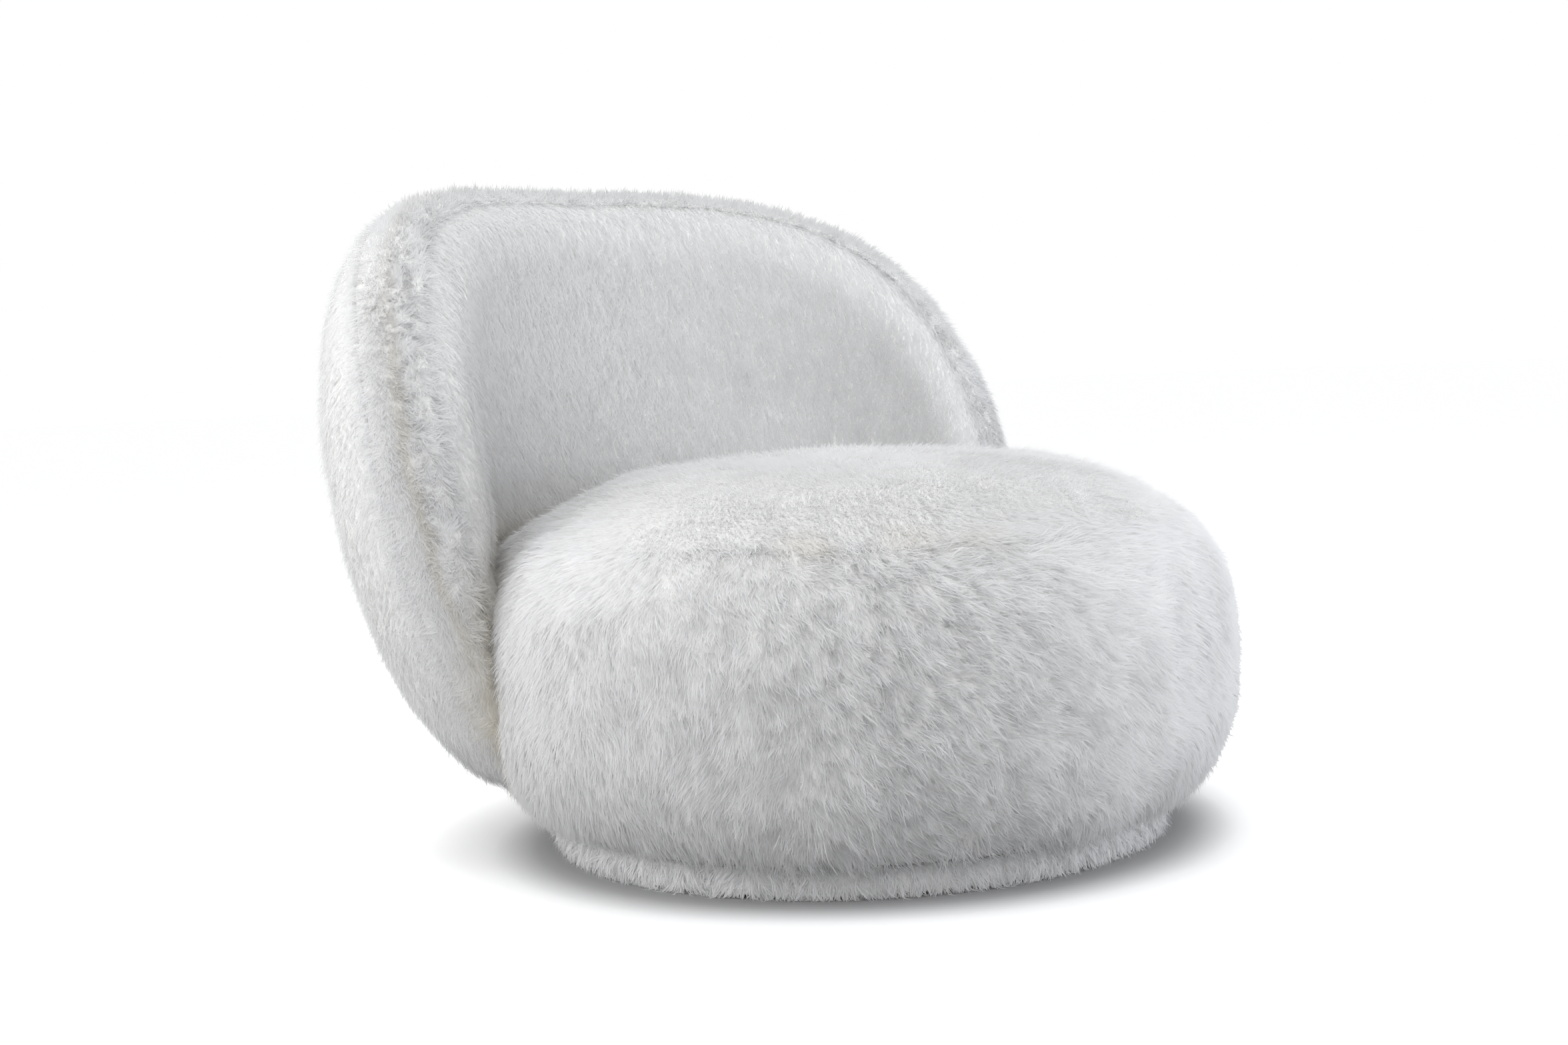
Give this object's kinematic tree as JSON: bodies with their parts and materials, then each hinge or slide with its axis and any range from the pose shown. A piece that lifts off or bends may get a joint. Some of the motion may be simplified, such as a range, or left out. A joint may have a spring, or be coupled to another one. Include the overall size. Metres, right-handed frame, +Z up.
{
  "type": "swivel lounge chair",
  "caption": "Low, plump lounge chair covered in long white sheepskin: a squashed ball of a seat with a thick wrap-around back, turning on a low round plinth.",
  "frame": {"origin": "on the floor under the middle of the chair's bounding box; the swivel axis stands 74 mm in front of it", "axes": "+Z up, the chair faces -Y with its back towards +Y, +X to the right seen from the front camera"},
  "size_m": [1.0078, 0.9915, 0.748],
  "materials": {
    "sheepskin": "matte",
    "foam": "matte",
    "plywood": "matte",
    "hardboard": "matte",
    "webbing": "matte",
    "black_cloth": "matte",
    "zinc_steel": "satin",
    "ball_steel": "polished",
    "nylon": "satin"
  },
  "bodies": {
    "plinth": {"plinth_board": "plywood", "plinth_fur_band": "sheepskin", "plinth_dust_cover": "black_cloth", "glide_1": "nylon", "glide_2": "nylon", "glide_3": "nylon", "glide_4": "nylon", "glide_5": "nylon", "glide_6": "nylon", "swivel_lower_plate": "zinc_steel", "pivot_bolt": "zinc_steel", "pivot_nut": "zinc_steel", "lower_bolt_1": "zinc_steel", "lower_bolt_2": "zinc_steel", "lower_bolt_3": "zinc_steel", "lower_bolt_4": "zinc_steel"},
    "bearing": {"ball_cage": "nylon", "ball_1": "ball_steel", "ball_2": "ball_steel", "ball_3": "ball_steel", "ball_4": "ball_steel", "ball_5": "ball_steel", "ball_6": "ball_steel"},
    "upper_body": {"upper_bolt_1": "zinc_steel", "upper_bolt_2": "zinc_steel", "upper_bolt_3": "zinc_steel", "upper_bolt_4": "zinc_steel", "swivel_upper_plate": "zinc_steel", "seat_base_board": "plywood", "seat_hoop": "plywood", "seat_deck_ring": "plywood", "webbing_across_1": "webbing", "webbing_across_2": "webbing", "webbing_across_3": "webbing", "webbing_along_1": "webbing", "webbing_along_2": "webbing", "seat_foam_core": "foam", "seat_foam_topper": "foam", "seat_side_foam": "foam", "seat_top_fur": "sheepskin", "seat_side_fur": "sheepskin", "seat_dust_cloth": "black_cloth", "back_bracket_1": "zinc_steel", "back_bracket_2": "zinc_steel", "back_bracket_3": "zinc_steel", "bracket_bolt_1": "zinc_steel", "bracket_bolt_2": "zinc_steel", "bracket_bolt_3": "zinc_steel", "back_bottom_rail": "plywood", "back_arch_rail": "plywood", "back_rib_1": "plywood", "back_rib_2": "plywood", "back_rib_3": "plywood", "back_inner_board": "hardboard", "back_outer_board": "hardboard", "back_foam_inner": "foam", "back_foam_outer": "foam", "back_inner_fur": "sheepskin", "back_edge_fur": "sheepskin", "back_outer_fur": "sheepskin"}
  },
  "joints": [
    {"name": "seat_swivel", "type": "hinge", "parent": "plinth", "child": "upper_body", "pos_m": [0, -0.074, 0.0374], "axis": [0, 0, 1], "continuous": true},
    {"name": "bearing_orbit", "type": "hinge", "parent": "plinth", "child": "bearing", "pos_m": [0, -0.074, 0.0374], "axis": [0, 0, 1], "continuous": true}
  ],
  "couplings": [
    {"joint": "bearing_orbit", "follows": "seat_swivel", "ratio": 0.5}
  ]
}
